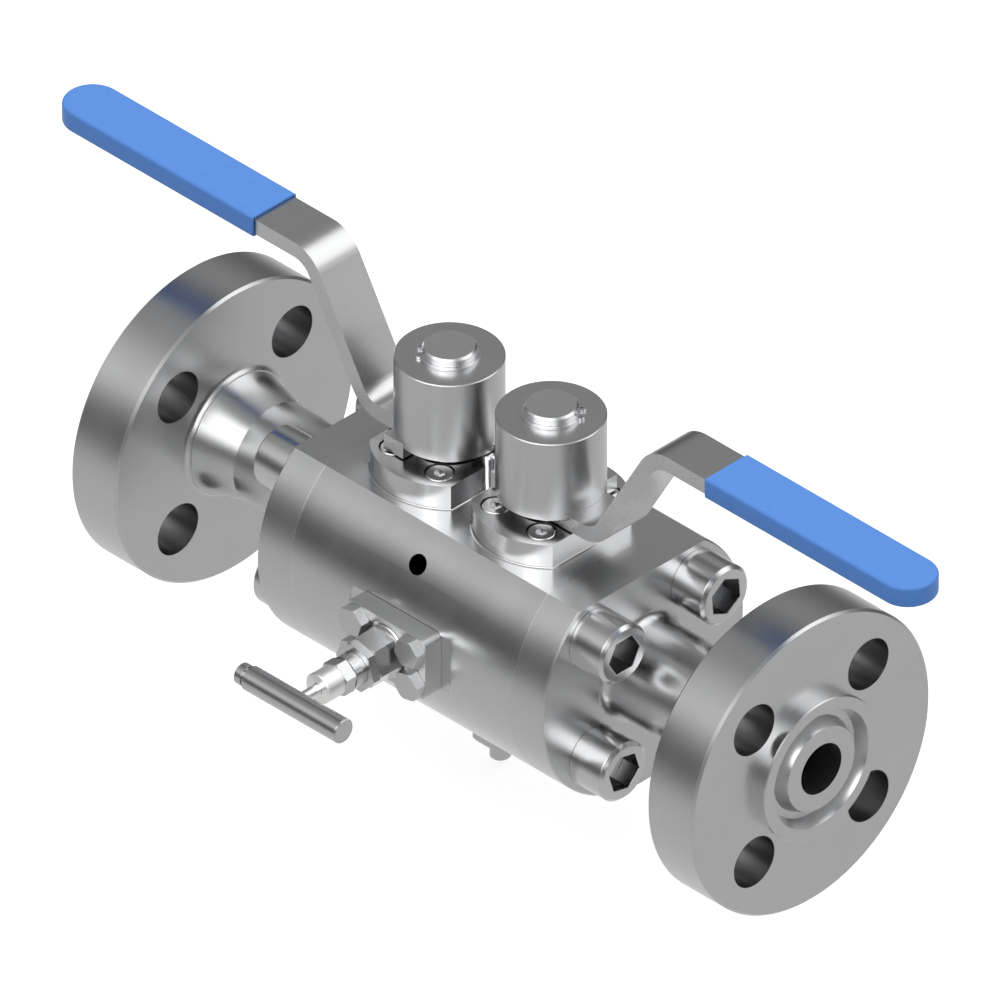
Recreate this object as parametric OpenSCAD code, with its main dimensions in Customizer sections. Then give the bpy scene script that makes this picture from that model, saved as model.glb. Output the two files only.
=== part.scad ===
// Double block and bleed valve, 1 in class 1500, flanged ends, all sizes in millimetres.
// Origin: centre of the inlet sealing face. +X runs along the flow bore to the outlet, +Z is up.
// Both ball valves are open, with their levers along the bore, and the bleed needle is closed.
// The outlet half is drawn once, and the inlet half is the same half turned by 180 degrees.

/* [Flanges] */
// Length between the two sealing faces
face_to_face = 404; // [396:1:440]
// Diameter of the flow bore
flow_bore_d = 25.4; // [22:0.1:26]
// Outside diameter of the flanges
flange_od = 150; // [146:1:160]
// Thickness of the flanges without the raised face
flange_t = 28.6; // [24:0.1:32]
// Diameter of the raised sealing face
raised_face_d = 71.5; // [66:0.5:74]
// Height of the raised sealing face
raised_face_h = 6.35; // [5:0.05:8]
// Circle through the centres of the flange holes
bolt_circle_d = 101.6; // [101:0.1:108]
// Diameter of the flange holes
bolt_hole_d = 25.4; // [20:0.1:26]
// Mean diameter of the ring joint groove
groove_pitch_d = 50.8; // [48:0.1:54]
// Width of the ring joint groove at its mouth
groove_w = 8.74; // [7.5:0.01:9.5]
// Depth of the ring joint groove
groove_h = 6.35; // [4:0.05:7]
// Chamfer on the flange rims
flange_chamfer = 1.2; // [0.4:0.1:2.5]

/* [Hubs and necks] */
// Diameter of the cone where it leaves the flange
hub_root_d = 61; // [56:0.5:64]
// Length of the cone behind the flange
hub_l = 23.4; // [16:0.1:30]
// Diameter of the straight neck
neck_d = 49; // [44:0.5:52]
// Radius where the cone meets the flange
hub_fillet = 2.5; // [1:0.1:4]
// Radius where the neck meets the body
neck_fillet = 4; // [1:0.1:4.5]

/* [Body] */
// Diameter of the round body bar
body_d = 127; // [126:1:134]
// Length of the body with its two end plates
body_l = 180; // [178:1:200]
// Thickness of the end plate on each connector
end_plate_t = 20; // [16:0.5:22]
// Height of the flat on top of the body above the bore axis
top_flat_z = 49.4; // [48.4:0.1:51]
// Distance between the two stems
stem_pitch = 64; // [63:0.5:68]
// Diameter of the round part of a stem boss
boss_d = 71.2; // [69.5:0.2:76]
// Width of a stem boss along the bore
boss_w = 51.2; // [50:0.2:54]
// Height of the boss top above the bore axis
boss_top_z = 62; // [60:0.1:65]
// Radius where a boss runs into the flat
boss_fillet = 1; // [0.6:0.1:2]
// Depth to which a boss is drawn inside the body
boss_root = 12; // [8:1:14]
// Chamfer on each side of the joint between body and end plate
seam_chamfer = 0.1; // [0.1:0.1:0.8]
// Chamfer on the outer rims of the body
body_chamfer = 0.8; // [0.3:0.1:2]

/* [End screws] */
// Distance between neighbouring end screws
end_screw_pitch = 64; // [62:0.5:66]
// Thread diameter of the end screws
end_screw_d = 20; // [16:1:20]
// Head diameter of the end screws
end_head_d = 29.6; // [26:0.2:30.4]
// Head height of the end screws
end_head_h = 20; // [16:0.5:22]
// Width across flats of the end screw socket
end_socket_af = 17; // [12:0.5:18]
// Depth of the end screw socket
end_socket_h = 10; // [6:0.5:12]
// Length of thread in the body
end_thread_l = 26; // [16:0.5:28]

/* [Balls and seats] */
// Diameter of a ball
ball_d = 45; // [43:0.5:47]
// Diameter of the chamber that holds a ball and its seats
chamber_d = 52; // [50:0.5:54]
// Thickness of the wall between the two chambers
web_t = 16; // [14:0.5:18]
// Distance from the stem axis to the nearest edge of a seat
seat_start = 16; // [15.6:0.1:17]
// Width of the flat spring behind a seat
spring_w = 4.5; // [3:0.1:5]
// Thickness of the flat spring behind a seat
spring_t = 1.2; // [0.8:0.1:1.6]
// Section diameter of the seat seal
seat_seal_d = 2.6; // [2:0.1:3]
// Mean diameter of the seal between body and connector
body_seal_d = 61; // [58:0.5:63]
// Section width of the seal between body and connector
body_seal_w = 3; // [2:0.1:3.5]

/* [Stems] */
// Diameter of a stem
stem_d = 24.8; // [22:0.1:25.6]
// Height of the stem top above the bore axis
stem_top_z = 114.3; // [113.4:0.1:118]
// Width of the tang that turns the ball
tang_w = 10; // [8:0.2:12]
// Length of the tang
tang_l = 20; // [16:0.5:24]
// Wall of the ball between its slot and its bore
ball_web = 3.8; // [3:0.1:4.5]
// Diameter of the collar that keeps the stem in
collar_d = 31; // [29:0.5:33]
// Height of the collar that keeps the stem in
collar_h = 6; // [4:0.2:7]
// Thickness of the thrust washer on the collar
washer_t = 1.2; // [0.8:0.1:2]
// Outside diameter of the stem packing
packing_d = 35; // [32:0.5:37]
// Height of the stem packing
packing_h = 12; // [8:0.2:12.6]
// Height of the ring that presses on the stem packing
follower_h = 5; // [3:0.2:5.2]
// Thickness of the gland plate, the upper part of a boss
gland_plate_t = 8; // [7.4:0.2:8.4]
// Place of the gland screws along the bore, from the stem
gland_screw_x = 14.3; // [13.8:0.1:14.6]
// Place of the gland screws across the bore, from the stem
gland_screw_y = 20.5; // [20:0.1:21]
// Thread diameter of the gland screws
gland_screw_d = 8; // [6:0.5:8]
// Head diameter of the gland screws
gland_head_d = 13; // [11:0.1:13.2]
// Head height of the gland screws
gland_head_h = 5; // [4:0.2:5.4]
// Width across flats of the gland screw socket
gland_socket_af = 5; // [4:0.5:6]
// Thread length of the gland screws below the gland plate
gland_thread_l = 9; // [6:0.5:9.5]

/* [Drive caps] */
// Diameter of a drive cap
cap_d = 50; // [49:0.5:52]
// Height of the cap rim above the bore axis
cap_bottom_z = 68; // [66:0.1:69]
// Height of the cap top above the bore axis
cap_top_z = 109.2; // [104:0.1:110]
// Diameter of the stop pins
stop_pin_d = 6; // [4:0.2:7]
// Distance of a stop pin from its stem
stop_pin_r = 25.4; // [25:0.1:25.8]
// Length of the stop pins
stop_pin_l = 25.3; // [16:0.1:27]
// Width of the key between stem and cap
key_w = 6; // [5:0.5:8]
// Distance from the key's top to the top of the cap
key_cover = 4; // [3:0.5:12]
// Thickness of the circlips
circlip_t = 1.2; // [1:0.1:1.6]
// Radial width of the circlips
circlip_w = 2.6; // [2.2:0.1:4]

/* [Levers] */
// Width of the lever bar
bar_w = 25; // [24:0.1:26]
// Thickness of the lever bar
bar_t = 8; // [7:0.1:8.4]
// Radius of the lever head round the stem
head_r = 18; // [17.6:0.1:19]
// Reach of the lever behind the stem
lever_tail = 25.5; // [24.5:0.1:26]
// Distance from the stem to the foot of the lever slope
lever_foot_x = 40.7; // [38:0.1:46]
// Angle of the lever slope to the horizontal
lever_slope = 60; // [50:1:66]
// Height of the top of the hand bar above the bore axis
hand_bar_z = 133.7; // [126:0.1:150]
// Radius of the bends, at the middle of the bar
bend_r = 15; // [10:0.5:16]
// Distance from the stem to the middle of the rounded bar end
lever_reach = 224.5; // [190:0.5:260]
// Reach of the stop lug across the lever
lug_reach = 25.5; // [24.5:0.1:26.5]
// Width of the stop lug
lug_w = 12; // [9:0.1:13]
// Wall of the hand sleeve
sleeve_wall = 1.35; // [0.8:0.05:2]
// Distance from the stem to the open end of the hand sleeve
sleeve_start = 110.4; // [100:0.5:130]

/* [Bleed valve] */
// Depth to which the bleed valve's seat is milled into the body
bleed_seat_depth = 1.7; // [1.1:0.1:2.5]
// Length of the machined seat along the bore
bleed_flat_l = 64.6; // [62:0.2:72]
// Width of the bonnet plate along the bore
plate_w = 49.2; // [47:0.2:54]
// Height of the bonnet plate
plate_h = 31.4; // [30.8:0.2:34]
// Thickness of the bonnet plate
plate_t = 10.1; // [8:0.1:13]
// Corner radius of the bonnet plate
plate_corner = 3; // [1:0.2:5]
// Place of the plate screws along the bore
plate_screw_x = 17.5; // [17.2:0.1:17.8]
// Place of the plate screws across the bore
plate_screw_z = 8.8; // [8.4:0.1:9.2]
// Thread diameter of the plate screws
plate_screw_d = 8; // [6:0.5:8]
// Width across flats of the plate screw heads
plate_head_af = 13; // [10:0.2:13.4]
// Height of the plate screw heads
plate_head_h = 5.5; // [4:0.1:6.5]
// Diameter of the collar between bonnet plate and hexagon
bonnet_collar_d = 24; // [22:0.2:25]
// Height of the collar between bonnet plate and hexagon
bonnet_collar_h = 2.1; // [1:0.1:3]
// Width across flats of the bonnet hexagon and its lock nut
bonnet_af = 21.4; // [20:0.2:22]
// Length of the bonnet hexagon
bonnet_hex_l = 13.2; // [10:0.1:16]
// Thickness of the lock nut
lock_nut_t = 4.5; // [3.5:0.1:5]
// Diameter of the bonnet neck
bonnet_neck_d = 16.4; // [16:0.1:17]
// Length of the bonnet neck
bonnet_neck_l = 11; // [10.6:0.1:14]
// Width across flats of the gland nut
gland_nut_af = 15.2; // [14:0.2:16.4]
// Height of the gland nut
gland_nut_t = 6.4; // [5:0.1:8]
// Diameter of the dust cap
dust_cap_d = 15; // [13:0.2:15.4]
// Length of the dust cap
dust_cap_l = 10.2; // [8:0.1:12]
// Diameter of the bleed spindle where it shows
spindle_d = 5.4; // [4.6:0.1:5.8]
// Diameter of the spindle thread
spindle_thread_d = 8.2; // [7.6:0.1:8.6]
// Diameter of the handle bar
tee_d = 12; // [10.5:0.2:14]
// Reach of the handle bar to its plain end
tee_reach = 31.5; // [26:0.5:45]
// Reach of the handle bar to its grooved end
tee_tail = 33.2; // [30:0.5:46]
// Gap between dust cap and handle bar
tee_gap = 9; // [7:0.1:14]
// Way that the needle opens
bleed_lift = 4.5; // [3:0.5:6]
// Diameter of the bleed passages
bleed_bore_d = 5; // [4:0.1:5.4]

/* [Ports] */
// Diameter of the vent port in the body
vent_d = 9.8; // [8:0.1:11]
// Depth of the vent port
vent_h = 14; // [10:0.5:18]
// Angle of the vent port above the horizontal
vent_angle = 35; // [33:1:38]
// Width across corners of the bleed outlet fitting
outlet_hex_d = 25.6; // [23:0.2:27]
// Height of the bleed outlet hexagon
outlet_hex_h = 17.8; // [12:0.2:22]
// Diameter of the bleed outlet spigot
spigot_d = 9.8; // [8:0.1:12]
// Length of the bleed outlet spigot
spigot_l = 11.7; // [8:0.1:16]
// Thread diameter of the bleed outlet fitting
outlet_thread_d = 16; // [14:0.5:18]
// Thread length of the bleed outlet fitting
outlet_thread_l = 14; // [10:0.5:16]

/* [Hidden] */
$fn = 64;
// Radial gap of threads and running fits
fit = 0.1;
// Gap between pieces that lie against each other
seat_gap = 0.05;
// Gap between moving pieces that pass each other
pass_gap = 0.3;
// Overrun of cutting shapes
over = 1;
mid_x = face_to_face / 2;
half_l = body_l / 2;
joint_x = half_l - end_plate_t;
stem_x = stem_pitch / 2;
flange_back = mid_x - raised_face_h - flange_t;
web_x = web_t / 2 - stem_x;
flat_half = sqrt(body_d * body_d / 4 - top_flat_z * top_flat_z);
slot_z = flow_bore_d / 2 + ball_web;
collar_z = ball_d / 2 + 1;
washer_z = collar_z + collar_h + seat_gap;
shoulder_z = washer_z + washer_t + seat_gap;
pocket_z = boss_top_z - gland_plate_t;
follower_z = pocket_z - follower_h;
packing_z = follower_z - packing_h - 2 * seat_gap;
head_sink = 0.2;
plate_z = boss_top_z + 0.8;
bar_top_z = plate_z + bar_t;
base_mid_z = plate_z + bar_t / 2;
hand_mid_z = hand_bar_z - bar_t / 2;
hand_vertex_x = lever_foot_x + (hand_mid_z - base_mid_z) / tan(lever_slope);
bend_cut = bend_r * tan(lever_slope / 2);
// The pin stands against the tail when the valve is open and against the lug when it is shut
stop_pin_y = 0.5;
lug_edge = stop_pin_y + stop_pin_d / 2 + pass_gap;
tail_edge = stop_pin_y - stop_pin_d / 2 - pass_gap;
stop_pin_top = cap_bottom_z - 0.7;
key_z = plate_z + 1;
key_top_z = cap_top_z - key_cover;
circlip_z = cap_top_z + seat_gap;
bleed_seat_y = body_d / 2 - bleed_seat_depth;
plate_y = bleed_seat_y + plate_t;
hex_y = plate_y + bonnet_collar_h;
hex_end_y = hex_y + bonnet_hex_l;
neck_end_y = hex_end_y + bonnet_neck_l;
gland_nut_y = neck_end_y + 0.2;
gland_nut_end = gland_nut_y + gland_nut_t;
dust_cap_y = gland_nut_end + seat_gap;
dust_cap_end = dust_cap_y + dust_cap_l;
tee_y = dust_cap_end + tee_gap + tee_d / 2;
bleed_pocket_d = 18;
bleed_pocket_y = bleed_seat_y - 17.8;
bleed_insert_t = 6;
insert_end_y = bleed_pocket_y + bleed_insert_t;
outlet_room = 3.4;
bonnet_foot_y = insert_end_y + outlet_room;
spindle_foot_y = bleed_seat_y + 0.2;
thread_end_y = neck_end_y - 14;
packing_seat_y = thread_end_y + bleed_lift + 0.6;
bleed_packing_d = 12;
bleed_packing_h = 3.4;
spot_z = body_d / 2 - 1;
outlet_seal_t = 1.6;
outlet_hex_z = spot_z + outlet_seal_t + 2 * seat_gap;

// Places and turns

// Puts a piece on the outlet end, or on the inlet end turned round
module at_end(side) {
  translate([mid_x, 0, 0]) rotate([0, 0, side > 0 ? 0 : 180]) children();
}

// Puts a piece on the outlet stem, or on the inlet stem turned round
module at_stem(side) {
  at_end(side) translate([stem_x, 0, 0]) children();
}

// Lays a shape that stands on Z along +X
module along_x() {
  rotate([0, 90, 0]) children();
}

// Lays a shape that stands on Z along -Y, with its plan X kept
module along_bleed() {
  translate([mid_x, 0, 0]) rotate([90, 0, 0]) children();
}

// A ring between two heights
module ring(outer_d, inner_d, h) {
  difference() {
    cylinder(d = outer_d, h = h);
    translate([0, 0, -over]) cylinder(d = inner_d, h = h + 2 * over);
  }
}

// A hexagon given by its width across flats
module hexagon(af, h) {
  cylinder(d = af / cos(30), h = h, $fn = 6);
}

// A hexagon whose corners are turned down at both ends
module turned_hexagon(af, h, bevel) {
  intersection() {
    hexagon(af, h);
    rotate_extrude() polygon([
      [0, 0], [af / 2 / cos(30) - bevel, 0], [af / 2 / cos(30), bevel * 0.6],
      [af / 2 / cos(30), h - bevel * 0.6], [af / 2 / cos(30) - bevel, h], [0, h]
    ]);
  }
}

// A socket head screw that hangs down from z = 0, with its head above
module socket_screw(d, head_d, head_h, af, socket_h, shank_l, turn, bevel) {
  difference() {
    union() {
      rotate_extrude() polygon([
        [0, 0], [head_d / 2, 0], [head_d / 2, head_h - bevel],
        [head_d / 2 - bevel, head_h], [0, head_h]
      ]);
      translate([0, 0, -shank_l]) cylinder(d = d, h = shank_l + over);
    }
    rotate([0, 0, turn]) translate([0, 0, head_h - socket_h]) hexagon(af, socket_h + over);
  }
}

// Body and connectors

// Half outline of a boss with the small concave foot that runs into the flat
module boss_outline(half) {
  difference() {
    translate([0, top_flat_z - boss_root]) square([half + boss_fillet, boss_top_z - top_flat_z + boss_root]);
    translate([half, top_flat_z + boss_fillet]) square([boss_fillet + over, boss_top_z]);
    translate([half + boss_fillet, top_flat_z + boss_fillet]) circle(r = boss_fillet);
  }
}

// A whole stem boss: a round boss with two flats, all with the same small foot
module boss() {
  intersection() {
    rotate_extrude() boss_outline(boss_d / 2);
    translate([0, flat_half, 0]) rotate([90, 0, 0]) linear_extrude(2 * flat_half) union() {
      boss_outline(boss_w / 2);
      mirror([1, 0]) boss_outline(boss_w / 2);
    }
  }
}

// The part of a boss between two heights: the lower one is the body's, the upper one the gland plate
module boss_slice(from_z, to_z) {
  intersection() {
    boss();
    translate([-body_d / 2, -body_d / 2, from_z]) cube([body_d, body_d, to_z - from_z]);
  }
}

// The solid that is cut off above the flat
module above_flat(from_x, to_x) {
  translate([from_x, -body_d / 2 - over, top_flat_z])
    cube([to_x - from_x, body_d + 2 * over, body_d]);
}

// The places of the four end screws
module at_end_screws() {
  for (sy = [-1, 1], sz = [-1, 1])
    translate([0, sy * end_screw_pitch / 2, sz * end_screw_pitch / 2]) children();
}

// The places of the four gland screws of one stem
module at_gland_screws() {
  for (sx = [-1, 1], sy = [-1, 1])
    translate([sx * gland_screw_x, sy * gland_screw_y, 0]) children();
}

// The places of the four screws of the bonnet plate
module at_plate_screws() {
  for (sx = [-1, 1], sz = [-1, 1])
    translate([sx * plate_screw_x, sz * plate_screw_z, 0]) children();
}

// Chambers, bores and threads of one half of the body
module body_half_cuts(side) {
  at_stem(side) {
    translate([web_x, 0, 0]) along_x() cylinder(d = chamber_d, h = joint_x - stem_x - web_x + over);
    cylinder(d = stem_d + 2 * fit, h = boss_top_z + over);
    cylinder(d = collar_d + 2 * pass_gap, h = shoulder_z);
    translate([0, 0, packing_z]) cylinder(d = packing_d + 2 * seat_gap, h = pocket_z - packing_z + over);
    at_gland_screws() translate([0, 0, pocket_z - gland_thread_l - over])
      cylinder(d = gland_screw_d + 2 * fit, h = gland_thread_l + 2 * over);
    translate([-stop_pin_r, stop_pin_y, stop_pin_top - stop_pin_l])
      cylinder(d = stop_pin_d + 2 * seat_gap, h = stop_pin_l);
  }
  at_end(side) {
    at_end_screws() translate([joint_x - end_thread_l - over, 0, 0]) along_x()
      cylinder(d = end_screw_d + 2 * fit, h = end_thread_l + 2 * over);
    translate([joint_x - body_seal_w, 0, 0]) along_x()
      ring(body_seal_d + body_seal_w, body_seal_d - body_seal_w, body_seal_w + over);
  }
}

// The machined seat for the bonnet plate, with round inner corners
module bleed_seat_cut() {
  corner = 2.5;
  along_bleed() translate([0, 0, bleed_seat_y]) difference() {
    translate([-bleed_flat_l / 2, -body_d / 4, 0]) cube([bleed_flat_l, body_d / 2, body_d]);
    for (s = [-1, 1]) translate([s * (bleed_flat_l / 2 - corner), -body_d / 4 - over, 0])
      difference() {
        translate([s > 0 ? 0 : -corner - over, 0, -over]) cube([corner + over, body_d, corner + over]);
        translate([0, -over, corner]) rotate([-90, 0, 0]) cylinder(r = corner, h = body_d + 2 * over);
      }
  }
}

// Passages of the bleed and vent ports
module port_cuts() {
  bleed_seat_cut();
  along_bleed() {
    cylinder(d = bleed_bore_d, h = body_d / 2);
    translate([0, 0, bleed_pocket_y]) cylinder(d = bleed_pocket_d, h = body_d / 2);
    at_plate_screws() translate([0, 0, bleed_seat_y - 14]) cylinder(d = plate_screw_d + 2 * fit, h = body_d);
  }
  // Drilled from the needle room down to the bleed outlet
  translate([mid_x, -insert_end_y - outlet_room / 2, -bleed_pocket_d / 2 + 1])
    rotate([-drill_tilt, 0, 0]) translate([0, 0, -drill_l]) cylinder(d = bleed_bore_d - 1, h = drill_l);
  translate([mid_x, 0, -spot_z - 2 * over]) cylinder(d = outlet_hex_d + 2, h = 2 * over);
  translate([mid_x, 0, -spot_z - over]) cylinder(d = outlet_thread_d + 2 * fit, h = outlet_thread_l + 2 + over);
  translate([mid_x, 0, -spot_z]) cylinder(d = bleed_bore_d, h = spot_z - outlet_end_z);
  // Vent port
  translate([mid_x, 0, 0]) rotate([90 - vent_angle, 0, 0]) {
    translate([0, 0, body_d / 2 - vent_h]) cylinder(d = vent_d, h = vent_h + 2 * over);
    translate([0, 0, 0]) cylinder(d = bleed_bore_d - 1, h = body_d / 2);
  }
}
// Where the slanting drilling meets the bleed outlet, and its length and tilt
outlet_end_z = spot_z - outlet_thread_l - 6;
drill_rise = outlet_end_z - bleed_pocket_d / 2 + 1;
drill_run = insert_end_y + outlet_room / 2;
drill_l = sqrt(drill_rise * drill_rise + drill_run * drill_run);
drill_tilt = -atan(drill_run / drill_rise);

module valve_body() {
  color([0.66, 0.67, 0.68]) difference() {
    union() {
      difference() {
        translate([mid_x - joint_x, 0, 0]) along_x() rotate_extrude() polygon([
          [0, 0], [body_d / 2 - seam_chamfer, 0], [body_d / 2, seam_chamfer],
          [body_d / 2, 2 * joint_x - seam_chamfer], [body_d / 2 - seam_chamfer, 2 * joint_x],
          [0, 2 * joint_x]
        ]);
        above_flat(mid_x - half_l, mid_x + half_l);
      }
      for (side = [-1, 1]) at_stem(side) boss_slice(top_flat_z - boss_root, pocket_z);
    }
    translate([mid_x - joint_x, 0, 0]) along_x() cylinder(d = flow_bore_d, h = 2 * joint_x);
    for (side = [-1, 1]) body_half_cuts(side);
    port_cuts();
  }
}

// Section of a connector: end plate, neck, cone, flange and raised face
module connector_section() {
  difference() {
    union() {
      polygon([
        [flow_bore_d / 2, joint_x], [body_d / 2 - seam_chamfer, joint_x],
        [body_d / 2, joint_x + seam_chamfer], [body_d / 2, half_l - body_chamfer],
        [body_d / 2 - body_chamfer, half_l], [neck_d / 2, half_l],
        [neck_d / 2, flange_back - hub_l], [hub_root_d / 2, flange_back],
        [flange_od / 2 - flange_chamfer, flange_back], [flange_od / 2, flange_back + flange_chamfer],
        [flange_od / 2, flange_back + flange_t - flange_chamfer],
        [flange_od / 2 - flange_chamfer, flange_back + flange_t],
        [raised_face_d / 2, flange_back + flange_t], [raised_face_d / 2, mid_x - 0.5],
        [raised_face_d / 2 - 0.5, mid_x], [flow_bore_d / 2, mid_x]
      ]);
      translate([neck_d / 2 - 1, half_l]) difference() {
        square(neck_fillet + 1);
        translate([neck_fillet + 1, neck_fillet]) circle(r = neck_fillet);
        translate([1, neck_fillet]) square(neck_fillet + 1);
      }
      translate([hub_root_d / 2 - 1, flange_back - hub_fillet]) difference() {
        square([hub_fillet + 1, hub_fillet + 0.5]);
        translate([hub_fillet + 1, 0]) circle(r = hub_fillet);
      }
    }
    // Ring joint groove with 23 degree sides
    translate([groove_pitch_d / 2, mid_x]) polygon([
      [-groove_w / 2 - over * tan(23), over], [groove_w / 2 + over * tan(23), over],
      [groove_w / 2 - groove_h * tan(23), -groove_h], [-groove_w / 2 + groove_h * tan(23), -groove_h]
    ]);
  }
}

module connector(side) {
  color([0.68, 0.69, 0.7]) at_end(side) difference() {
    along_x() rotate_extrude($fn = 96) connector_section();
    above_flat(joint_x - over, half_l);
    for (a = [45:90:315]) rotate([a, 0, 0])
      translate([flange_back - over, 0, bolt_circle_d / 2]) along_x()
        cylinder(d = bolt_hole_d, h = flange_t + 2 * over);
    at_end_screws() translate([joint_x - over, 0, 0]) along_x()
      cylinder(d = end_screw_d + 1, h = end_plate_t + 2 * over);
  }
}

module end_screws(side) {
  color([0.6, 0.61, 0.62]) at_end(side) for (sy = [-1, 1], sz = [-1, 1])
    translate([half_l + seat_gap, sy * end_screw_pitch / 2, sz * end_screw_pitch / 2]) along_x()
      socket_screw(end_screw_d, end_head_d, end_head_h, end_socket_af, end_socket_h,
        end_plate_t + end_thread_l, 11 + 17 * sy - 23 * sz, 1.6);
}

module body_seal(side) {
  color([0.15, 0.15, 0.16]) at_end(side) translate([joint_x - body_seal_w + seat_gap, 0, 0]) along_x()
    ring(body_seal_d + body_seal_w - 2 * seat_gap, body_seal_d - body_seal_w + 2 * seat_gap,
      body_seal_w - 2 * seat_gap);
}

// Seats, springs and seals

// A seat ring along X between two places, hollowed for the ball at the origin
module seat_ring(from_x, to_x, seal_x) {
  color([0.9, 0.89, 0.85]) difference() {
    translate([from_x, 0, 0]) along_x() ring(chamber_d - 2 * fit, flow_bore_d, to_x - from_x);
    sphere(d = ball_d + 2 * pass_gap, $fn = 96);
    translate([seal_x - seat_seal_d / 2, 0, 0]) along_x()
      ring(chamber_d + 2 * over, chamber_d - 2 * seat_seal_d, seat_seal_d);
  }
}
outer_seat_end = joint_x - stem_x - spring_t - 2 * seat_gap;
inner_seat_end = web_x + spring_t + 2 * seat_gap;
outer_seal_x = (seat_start + outer_seat_end) / 2;
inner_seal_x = (inner_seat_end - seat_start) / 2 - 0.3;

module outer_seat(side) {
  at_stem(side) seat_ring(seat_start, outer_seat_end, outer_seal_x);
}

module inner_seat(side) {
  at_stem(side) seat_ring(inner_seat_end, -seat_start, inner_seal_x);
}

module seat_springs() {
  color([0.55, 0.56, 0.58]) for (side = [-1, 1]) at_stem(side)
    for (x = [outer_seat_end + seat_gap, web_x + seat_gap]) translate([x, 0, 0]) along_x()
      ring(chamber_d - 1, chamber_d - 1 - 2 * spring_w, spring_t);
}

module seat_seals() {
  color([0.15, 0.15, 0.16]) for (side = [-1, 1]) at_stem(side)
    for (x = [outer_seal_x, inner_seal_x]) translate([x, 0, 0]) along_x()
      rotate_extrude() translate([chamber_d / 2 - seat_seal_d / 2 - fit, 0])
        circle(d = seat_seal_d - 2 * fit, $fn = 24);
}

// Balls, stems and glands

module ball(side) {
  color([0.8, 0.81, 0.82]) at_stem(side) difference() {
    sphere(d = ball_d, $fn = 96);
    translate([-ball_d, 0, 0]) along_x() cylinder(d = flow_bore_d, h = 2 * ball_d);
    translate([-ball_d, -tang_w / 2 - fit, slot_z]) cube([2 * ball_d, tang_w + 2 * fit, ball_d]);
  }
}

module stem(side) {
  color([0.74, 0.75, 0.76]) at_stem(side) difference() {
    union() {
      intersection() {
        translate([-tang_l / 2, -tang_w / 2, slot_z + pass_gap])
          cube([tang_l, tang_w, collar_z - slot_z]);
        cylinder(d = collar_d, h = collar_z + over);
      }
      translate([0, 0, collar_z]) cylinder(d = collar_d, h = collar_h);
      translate([0, 0, collar_z]) rotate_extrude() polygon([
        [0, 0], [stem_d / 2, 0], [stem_d / 2, stem_top_z - collar_z - 1],
        [stem_d / 2 - 1, stem_top_z - collar_z], [0, stem_top_z - collar_z]
      ]);
    }
    // Groove for the circlip
    translate([0, 0, circlip_z - seat_gap])
      ring(stem_d + 2 * over, circlip_inner_d - 2 * fit, circlip_t + 2 * seat_gap);
    key_shape(fit, key_z - fit);
  }
}

// The key, half in the stem and half in lever and cap, from a given height up to its top
module key_shape(gap, from_z) {
  translate([-stem_d / 2 - key_w / 2 - gap, -key_w / 2 - gap, from_z])
    cube([key_w + 2 * gap, key_w + 2 * gap, key_top_z + gap - from_z]);
}

module key(side) {
  color([0.5, 0.5, 0.52]) at_stem(side) key_shape(0, key_z);
}

module thrust_washer(side) {
  color([0.92, 0.92, 0.9]) at_stem(side) translate([0, 0, washer_z])
    ring(collar_d, stem_d + 2 * fit, washer_t);
}

module stem_packing(side) {
  color([0.25, 0.25, 0.26]) at_stem(side) translate([0, 0, packing_z + seat_gap])
    ring(packing_d, stem_d + 2 * fit, packing_h);
}

module gland_follower(side) {
  color([0.7, 0.71, 0.72]) at_stem(side) translate([0, 0, follower_z])
    ring(packing_d, stem_d + 2 * fit, follower_h);
}

module gland_plate(side) {
  color([0.62, 0.63, 0.64]) at_stem(side) difference() {
    boss_slice(pocket_z, boss_top_z);
    translate([0, 0, pocket_z - over]) cylinder(d = stem_d + 2 * fit, h = gland_plate_t + 2 * over);
    at_gland_screws() {
      translate([0, 0, pocket_z - over]) cylinder(d = gland_screw_d + 0.8, h = gland_plate_t + 2 * over);
      translate([0, 0, boss_top_z - head_sink - gland_head_h])
        cylinder(d = gland_head_d + 1, h = gland_head_h + over);
    }
    translate([-stop_pin_r, stop_pin_y, pocket_z - over])
      cylinder(d = stop_pin_d + 2 * pass_gap, h = gland_plate_t + 2 * over);
  }
}

module gland_screws(side) {
  color([0.56, 0.57, 0.58]) at_stem(side) at_gland_screws()
    translate([0, 0, boss_top_z - head_sink - gland_head_h + seat_gap])
      socket_screw(gland_screw_d, gland_head_d, gland_head_h - seat_gap, gland_socket_af, 3,
        gland_plate_t - head_sink - gland_head_h + gland_thread_l, 20, 0.5);
}

module stop_pins() {
  color([0.7, 0.71, 0.72]) for (side = [-1, 1]) at_stem(side)
    translate([-stop_pin_r, stop_pin_y, stop_pin_top - stop_pin_l]) rotate_extrude() polygon([
      [0, 0], [stop_pin_d / 2, 0], [stop_pin_d / 2, stop_pin_l - 0.8],
      [stop_pin_d / 2 - 0.8, stop_pin_l], [0, stop_pin_l]
    ]);
}

// Drive caps, circlips and levers

// Plan of the lever head: the hub, the bar, the tail beside the stop pin and the lug
module head_plan(gap) {
  circle(r = head_r + gap);
  translate([0, -bar_w / 2 - gap]) square([lever_foot_x, bar_w + 2 * gap]);
  translate([-lever_tail - gap, -bar_w / 2 - gap])
    square([lever_tail + 2 * gap, bar_w / 2 + tail_edge + 2 * gap]);
  translate([lug_edge - gap, 0]) square([lug_w + 2 * gap, lug_reach + gap]);
}

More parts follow.
